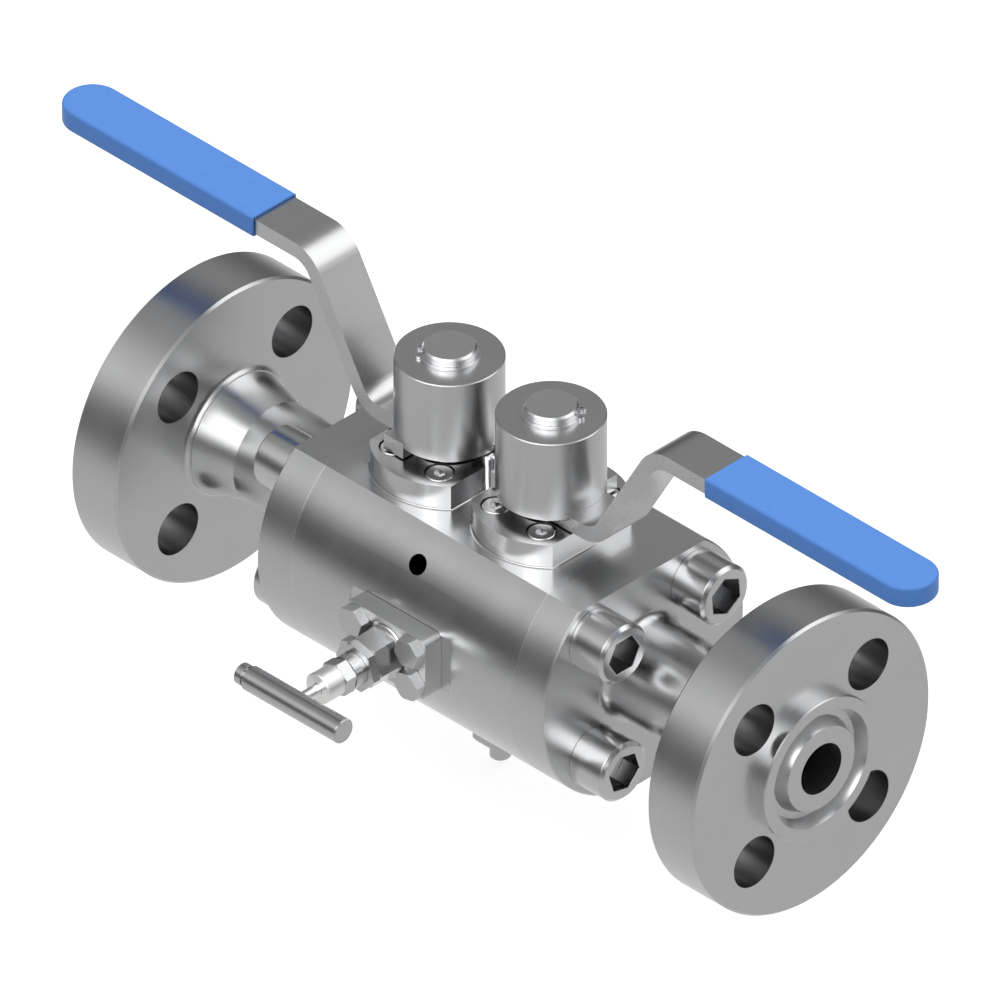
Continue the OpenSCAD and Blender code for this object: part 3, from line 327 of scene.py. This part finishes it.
# Stems, balls and followers are ground bright, and each stem carries a turned drive cap.
# Seats and washers are pressed from an off-white sealing polymer, packings from graphite.
# The gland plates are milled with the body, and two pins stop the levers.
STEM_PITCH = 64 * MM
STEM_X = {"inlet": MIDDLE.x - STEM_PITCH / 2, "outlet": MIDDLE.x + STEM_PITCH / 2}
ROUND_Z = (0, pi / 2, 0)
GROUND_STEEL = (0.42, 0.424, 0.43)
seat_polymer = plain("seat_polymer", (0.72, 0.7, 0.62), 0.4)
graphite = plain("graphite", (0.03, 0.03, 0.032), 0.5)
spring_steel = machined("spring_steel", (0.4, 0.4, 0.41), 0.25)
key_steel = machined("key_steel", (0.3, 0.3, 0.31), 0.4)
finish_with("seat_springs", spring_steel)
finish_with("seat_seals", seal_rubber)
for end, stem_x in STEM_X.items():
    stem_axis = (stem_x, 0, 0)
    bright = machined(f"{end}_stem_steel", GROUND_STEEL, 0.24, stem_axis, ROUND_Z, 0.25 * MM)
    for node in ("ball", "stem", "gland_follower"):
        finish_with(f"{end}_{node}", bright)
    for node in ("outer_seat", "inner_seat", "thrust_washer"):
        finish_with(f"{end}_{node}", seat_polymer)
    finish_with(f"{end}_stem_packing", graphite)
    finish_with(f"{end}_key", key_steel)
    finish_with(f"{end}_circlip", spring_steel)
    finish_with(f"{end}_gland_plate", body_steel)
    turned = machined(f"{end}_cap_steel", STEEL, 0.3, stem_axis, ROUND_Z, 0.4 * MM, edge=0.02 * MM)
    finish_with(f"{end}_drive_cap", turned)
finish_with("stop_pins", machined("pin_steel", (0.55, 0.55, 0.56), 0.22, MIDDLE, ROUND_Z))

# Screws: cold-headed stainless socket screws, tumbled smooth, with painted shade dark inside their
# sockets.
# The M20 ones hold the end plates, the small ones are sunk into the gland plates.
SCREW_STEEL = (0.4, 0.402, 0.405)
HEAD_RADIUS = 15 * MM
SOCKET_REACH, SOCKET_DEPTH, SOCKET_LIP = 11 * MM, 12 * MM, 0.4 * MM
# The darkening inside the sockets is painted shade.
SOCKET_SHADE_SHARE = 0.45
small_screw_steel = machined("small_screw_steel", (0.46, 0.462, 0.465), 0.22, MIDDLE,
                             edge=0.4 * MM)
for end, outward in (("inlet", -1), ("outlet", 1)):
    screw_steel = machined(f"{end}_screw_steel", SCREW_STEEL, 0.24, MIDDLE, edge=0.7 * MM)
    finish_with(f"{end}_end_screws", screw_steel)
    finish_with(f"{end}_gland_screws", small_screw_steel)
    low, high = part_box(f"{end}_end_screws")
    head_x = low.x if outward < 0 else high.x
    # Painted shade inside the sockets of the M20 heads.
    socket_shade = holes_in(screw_steel, (high.y - HEAD_RADIUS, high.z - HEAD_RADIUS), SOCKET_REACH,
                       head_x - outward * (SOCKET_DEPTH / 2 + SOCKET_LIP), SOCKET_DEPTH / 2)
    paint_shade(screw_steel, socket_shade, SOCKET_SHADE_SHARE, HOLE_SHADE_TONE)

# Levers: flat stainless bar, sawn, bent hot to 60 degrees and brushed along its length.
# The hand end is dipped in blue vinyl, which sets with soft edges and a thin rim.
# One sleeve is modelled, and the other is its copy, turned about the middle of the valve.
ROUND_Y = (0, 0, pi / 2)
SLEEVE_EDGE, EDGE_STEPS = 1.5 * MM, 6
SLEEVE_RIM, MOUTH_DEPTH = 1.08 * MM, 1.2 * MM
TIP_LAND = 0.03 * MM
lever_steel = machined("lever_steel", STEEL, 0.28, MIDDLE, ROUND_Y, 0.6 * MM, 0.001 * MM,
                       0.03 * MM)
sleeve_blue = plain("sleeve_blue", (0.08, 0.22, 0.585), 0.45)
sleeve_blue.node_tree.nodes["Principled BSDF"].inputs["Specular IOR Level"].default_value = 0.2


def pick_faces(piece, wanted):
    """In edit mode, selects only the faces whose middle and direction suit wanted."""
    bpy.ops.mesh.select_all(action="DESELECT")
    bpy.ops.mesh.select_mode(type="FACE")
    shape = bmesh.from_edit_mesh(piece.data)
    for face in shape.faces:
        face.select_set(wanted(face.calc_center_median(), face.normal))
    shape.select_flush(True)
    bmesh.update_edit_mesh(piece.data)


def dipped_sleeve(name, low, high):
    """The vinyl sleeve inside a box that runs along +X, with its round tip at high X."""
    size = high - low
    tip_x = high.x - size.y / 2
    bpy.ops.object.select_all(action="DESELECT")
    bpy.ops.mesh.primitive_cylinder_add(
        vertices=96, radius=size.y / 2, depth=size.z - 2 * SLEEVE_EDGE,
        location=(tip_x, (low.y + high.y) / 2, (low.z + high.z) / 2))
    sleeve = bpy.context.object
    sleeve.name = name
    bpy.ops.object.transform_apply(location=True, rotation=True, scale=True)
    bpy.ops.object.mode_set(mode="EDIT")
    # Half the disc is the round tip, and its flat back is moved out past the mouth
    cut_x = tip_x - TIP_LAND
    bpy.ops.mesh.select_all(action="SELECT")
    bpy.ops.mesh.bisect(plane_co=(cut_x, 0, 0), plane_no=(1, 0, 0), clear_inner=True,
                        use_fill=True)
    pick_faces(sleeve, lambda middle, normal: abs(normal.x) > 0.9 and middle.x < tip_x)
    bpy.ops.transform.translate(value=(low.x - 3 * SLEEVE_EDGE - cut_x, 0, 0))
    bpy.ops.mesh.select_all(action="SELECT")
    bpy.ops.mesh.normals_make_consistent(inside=False)
    # Soft long edges, as the vinyl draws off them while it sets: a quarter round in small steps
    for side in (1, -1):
        pick_faces(sleeve, lambda middle, normal: normal.z * side > 0.9)
        for step in range(EDGE_STEPS):
            start, stop = (pi / 2 * count / EDGE_STEPS for count in (step, step + 1))
            bpy.ops.mesh.inset(thickness=SLEEVE_EDGE * (cos(start) - cos(stop)),
                               depth=SLEEVE_EDGE * (sin(stop) - sin(start)))
    # The mouth is cut off square, with a thin rim round the bar
    bpy.ops.mesh.select_all(action="SELECT")
    bpy.ops.mesh.bisect(plane_co=(low.x, 0, 0), plane_no=(1, 0, 0), clear_inner=True,
                        use_fill=True)
    bpy.ops.mesh.select_all(action="SELECT")
    bpy.ops.mesh.normals_make_consistent(inside=False)
    pick_faces(sleeve, lambda middle, normal: normal.x < -0.9 and middle.x < low.x + 0.1 * MM)
    bpy.ops.mesh.inset(thickness=SLEEVE_RIM, depth=0)
    bpy.ops.mesh.extrude_region_move(TRANSFORM_OT_translate={"value": (MOUTH_DEPTH, 0, 0)})
    bpy.ops.mesh.select_all(action="SELECT")
    bpy.ops.mesh.normals_make_consistent(inside=False)
    bpy.ops.object.mode_set(mode="OBJECT")
    bpy.ops.object.shade_smooth_by_angle(angle=radians(40))
    return sleeve


outlet_sleeve = dipped_sleeve("outlet_sleeve", *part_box("outlet_lever_sleeve"))
inlet_sleeve = outlet_sleeve.copy()
inlet_sleeve.data = outlet_sleeve.data.copy()
inlet_sleeve.name = "inlet_sleeve"
bpy.context.scene.collection.objects.link(inlet_sleeve)
inlet_sleeve.data.transform(Matrix.Translation(2 * MIDDLE) @ Matrix.Rotation(pi, 4, "Z"))
for end, sleeve in (("inlet", inlet_sleeve), ("outlet", outlet_sleeve)):
    sleeve.data.materials.append(sleeve_blue)
    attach(sleeve, f"{end}_drive")
    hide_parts(f"{end}_lever_sleeve")
    finish_with(f"{end}_lever", lever_steel)

# Bleed valve: bonnet turned from bar, screwed to the milled seat with four hexagon screws.
# Its nuts, light cap, ground spindle and plain cross handle sit one behind the other along -Y.
# The bonnet's hexagon and neck are as bright as the nuts, and its plate is left satin.
PLATE_SCREW_HEAD = 5.5 * MM
SATIN_FADE, SATIN_ROUGHER = 0.2 * MM, 0.18
HANDLE_AXIS = (0, -130.05 * MM, 0)
bleed_steel = machined("bleed_steel", STEEL, 0.22, MIDDLE, ROUND_Y, 0.3 * MM)
bonnet_steel = machined("bonnet_steel", STEEL, 0.22, MIDDLE, ROUND_Y, 0.3 * MM)
handle_steel = machined("handle_steel", STEEL, 0.26, HANDLE_AXIS, depth=0.002 * MM)
plate_screw_steel = machined("plate_screw_steel", SCREW_STEEL, 0.44, MIDDLE, ROUND_Y)
spindle_steel = machined("spindle_steel", (0.5, 0.505, 0.51), 0.25, MIDDLE, ROUND_Y)
light_cap_metal = machined("bleed_cap_light", (0.62, 0.62, 0.61), 0.42, MIDDLE, ROUND_Y)
plate_face_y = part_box("bleed_plate_screws")[0].y + PLATE_SCREW_HEAD
bonnet_tree, bonnet_link = bonnet_steel.node_tree.nodes, bonnet_steel.node_tree.links.new
bonnet_parts = bonnet_tree.new("ShaderNodeSeparateXYZ")
bonnet_link(bonnet_tree.new("ShaderNodeTexCoord").outputs["Object"], bonnet_parts.inputs[0])
plate_satin = bonnet_tree.new("ShaderNodeMapRange")
plate_satin.inputs["From Min"].default_value = plate_face_y - SATIN_FADE
plate_satin.inputs["From Max"].default_value = plate_face_y + SATIN_FADE
plate_satin.inputs["To Max"].default_value = SATIN_ROUGHER
bonnet_link(bonnet_parts.outputs["Y"], plate_satin.inputs["Value"])
bonnet_rough = bonnet_tree.new("ShaderNodeMath")
bonnet_rough.operation = "ADD"
bonnet_shader = bonnet_tree["Principled BSDF"]
bonnet_link(bonnet_shader.inputs["Roughness"].links[0].from_socket, bonnet_rough.inputs[0])
bonnet_link(plate_satin.outputs[0], bonnet_rough.inputs[1])
bonnet_link(bonnet_rough.outputs[0], bonnet_shader.inputs["Roughness"])
for node, material in (("bleed_lock_nut", bleed_steel), ("bleed_gland_nut", bleed_steel),
                       ("bleed_bonnet", bonnet_steel), ("bleed_plate_screws", plate_screw_steel),
                       ("bleed_spindle", spindle_steel), ("bleed_needle", spindle_steel),
                       ("bleed_handle", handle_steel), ("bleed_handle_pin", key_steel),
                       ("bleed_dust_cap", light_cap_metal), ("bleed_packing", graphite),
                       ("bleed_gasket", seat_polymer), ("bleed_seat", seat_polymer)):
    finish_with(node, material)

# Bleed outlet: a hexagon fitting with a hose spigot, turned from bar.
# It is screwed up into the body from below, on a bonded washer of black rubber.
finish_with("outlet_fitting", machined("fitting_steel", STEEL, 0.32, MIDDLE, ROUND_Z, 0.3 * MM))
finish_with("outlet_fitting_seal", seal_rubber)

# Floor: one plain pale sheet just under the valve, which takes its soft shadow.
# To the camera it is lit up to white besides, and what mirrors it sees the studio instead.
FLOOR_SIDE, FLOOR_GAP = 12, 3 * MM
FLOOR_GREY, FLOOR_GLOW = 0.38, 0.8
bpy.ops.mesh.primitive_plane_add(size=FLOOR_SIDE,
                                 location=(MIDDLE.x, 0, cad_box[0][2] - FLOOR_GAP))
floor = bpy.context.object
floor.name = "floor"
floor_paint = bpy.data.materials.new("floor_paint")
floor_paint.use_nodes = True
floor_tree, floor_link = floor_paint.node_tree.nodes, floor_paint.node_tree.links.new
floor_shader = floor_tree["Principled BSDF"]
floor_shader.inputs["Base Color"].default_value = (FLOOR_GREY, FLOOR_GREY, FLOOR_GREY, 1)
floor_shader.inputs["Roughness"].default_value = 0.9
floor_glow = floor_tree.new("ShaderNodeEmission")
floor_glow.inputs["Strength"].default_value = FLOOR_GLOW
floor_sum = floor_tree.new("ShaderNodeAddShader")
floor_link(floor_shader.outputs[0], floor_sum.inputs[0])
floor_link(floor_glow.outputs[0], floor_sum.inputs[1])
floor_rays = floor_tree.new("ShaderNodeLightPath")
floor_seen = floor_tree.new("ShaderNodeMixShader")
floor_link(floor_rays.outputs["Is Camera Ray"], floor_seen.inputs[0])
floor_link(floor_shader.outputs[0], floor_seen.inputs[1])
floor_link(floor_sum.outputs[0], floor_seen.inputs[2])
floor_mirrored = floor_tree.new("ShaderNodeMixShader")
floor_link(floor_rays.outputs["Is Glossy Ray"], floor_mirrored.inputs[0])
floor_link(floor_seen.outputs[0], floor_mirrored.inputs[1])
floor_link(floor_tree.new("ShaderNodeBsdfTransparent").outputs[0], floor_mirrored.inputs[2])
floor_link(floor_mirrored.outputs[0], floor_tree["Material Output"].inputs["Surface"])
floor.data.materials.append(floor_paint)

# Studio: the steel mirrors dark walls, a pale floor, a grey ceiling, five soft boxes and one
# dark patch, and two weak lamps and the sky overhead light all that isn't glossy.
# A soft box is its azimuth and height, the degrees to where it is full and none, and its light.
SOFT_BOXES = ((-52, 35, 17, 30, 3.1), (-94, 36, 16, 29, 3.1), (55, 52, 14, 34, 2.4),
              (-137, 36, 9, 24, 0.4), (152, 48, 5, 16, -0.3), (36, 12, 14, 30, 0.85))
LAMP_SIDE = 0.9
world = bpy.data.worlds.new("studio")
bpy.context.scene.world = world
world.use_nodes = True
sky_tree, sky_link = world.node_tree.nodes, world.node_tree.links.new
sky_place = sky_tree.new("ShaderNodeTexCoord")
sky_parts = sky_tree.new("ShaderNodeSeparateXYZ")
sky_link(sky_place.outputs["Generated"], sky_parts.inputs[0])
sky_height = sky_parts.outputs["Z"]


def sky_ramp(value, low, high, below, above):
    """A smooth step of brightness from below to above while value goes from low to high."""
    ramp = sky_tree.new("ShaderNodeMapRange")
    ramp.interpolation_type = "SMOOTHSTEP"
    for name, number in (("From Min", low), ("From Max", high), ("To Min", below),
                         ("To Max", above)):
        ramp.inputs[name].default_value = number
    sky_link(value, ramp.inputs["Value"])
    return ramp.outputs[0]


def add_light(one, other):
    """The sum of two brightness values."""
    total = sky_tree.new("ShaderNodeMath")
    total.operation = "ADD"
    sky_link(one, total.inputs[0])
    sky_link(other, total.inputs[1])
    return total.outputs[0]


def soft_box(azimuth, height, inner, outer, amount):
    """A round soft box in the sky: full brightness within inner degrees, none beyond outer."""
    azimuth, height = radians(azimuth), radians(height)
    aim = (cos(height) * cos(azimuth), cos(height) * sin(azimuth), sin(height))
    facing = sky_tree.new("ShaderNodeVectorMath")
    facing.operation = "DOT_PRODUCT"
    facing.inputs[1].default_value = aim
    sky_link(sky_place.outputs["Generated"], facing.inputs[0])
    return sky_ramp(facing.outputs["Value"], cos(radians(outer)), cos(radians(inner)), 0, amount)


# Pale below, dark walls at eye level and a grey ceiling, as dark and light as the steel shows them
light = add_light(sky_ramp(sky_height, low=-0.42, high=0.0, below=0.84, above=0.0),
                  sky_ramp(sky_height, low=0.05, high=0.6, below=0.16, above=0.54))
for box in SOFT_BOXES:
    light = add_light(light, soft_box(*box))
# Steel dims what it mirrors, so light that comes by two steel faces starts out stronger
sky_rays = sky_tree.new("ShaderNodeLightPath")
brighter = sky_tree.new("ShaderNodeMath")
brighter.operation = "MULTIPLY"
sky_link(light, brighter.inputs[0])
sky_link(sky_ramp(sky_rays.outputs["Glossy Depth"], low=1.0, high=2.0, below=1.0, above=1.9),
         brighter.inputs[1])
sky = sky_tree["Background"]
sky.inputs["Color"].default_value = (1, 1, 1, 1)
sky_link(brighter.outputs[0], sky.inputs["Strength"])
# Matt surfaces are lit mostly from above, and the camera sees plain white behind the floor's edge
overhead = sky_tree.new("ShaderNodeBackground")
overhead.inputs["Color"].default_value = (1, 1, 1, 1)
sky_link(sky_ramp(sky_height, low=0.0, high=0.9, below=0.06, above=1.76),
         overhead.inputs["Strength"])
white = sky_tree.new("ShaderNodeBackground")
white.inputs["Color"].default_value = (1, 1, 1, 1)
sky_matt = sky_tree.new("ShaderNodeMixShader")
sky_link(sky_rays.outputs["Is Glossy Ray"], sky_matt.inputs[0])
sky_link(overhead.outputs[0], sky_matt.inputs[1])
sky_link(sky.outputs[0], sky_matt.inputs[2])
sky_seen = sky_tree.new("ShaderNodeMixShader")
sky_link(sky_rays.outputs["Is Camera Ray"], sky_seen.inputs[0])
sky_link(sky_matt.outputs[0], sky_seen.inputs[1])
sky_link(white.outputs[0], sky_seen.inputs[2])
sky_link(sky_seen.outputs[0], sky_tree["World Output"].inputs["Surface"])


def soft_lamp(name, place, power):
    """A square lamp that looks at the middle of the valve."""
    lamp = bpy.data.objects.new(name, bpy.data.lights.new(name, "AREA"))
    lamp.data.size = LAMP_SIDE
    lamp.data.energy = power
    lamp.location = place
    lamp.rotation_euler = (MIDDLE - Vector(place)).to_track_quat("-Z", "Y").to_euler()
    bpy.context.scene.collection.objects.link(lamp)


soft_lamp("key_lamp", (0.9, -0.5, 1.3), 0.8)
soft_lamp("fill_lamp", (-0.9, -0.9, 0.7), 0.1)

# Camera: the photograph's exact isometric view without perspective, at its own scale.
# It aims at the point of the object that stands in the middle of the photograph.
PHOTO_SIDE, PHOTO_SCALE = 1000, 2.2467
VIEW_CENTRE = Vector((156.29, 45.46, 0)) * MM
STEP_BACK = 0.8
camera = bpy.data.objects.new("camera", bpy.data.cameras.new("camera"))
bpy.context.scene.collection.objects.link(camera)
camera.data.type = "ORTHO"
camera.data.ortho_scale = PHOTO_SIDE / PHOTO_SCALE * MM
camera.location = VIEW_CENTRE + Vector((1, -1, 1)) * STEP_BACK
camera.rotation_euler = (atan2(sqrt(2), 1), 0, pi / 4)
bpy.context.scene.camera = camera
bpy.context.scene.view_settings.view_transform = "Standard"
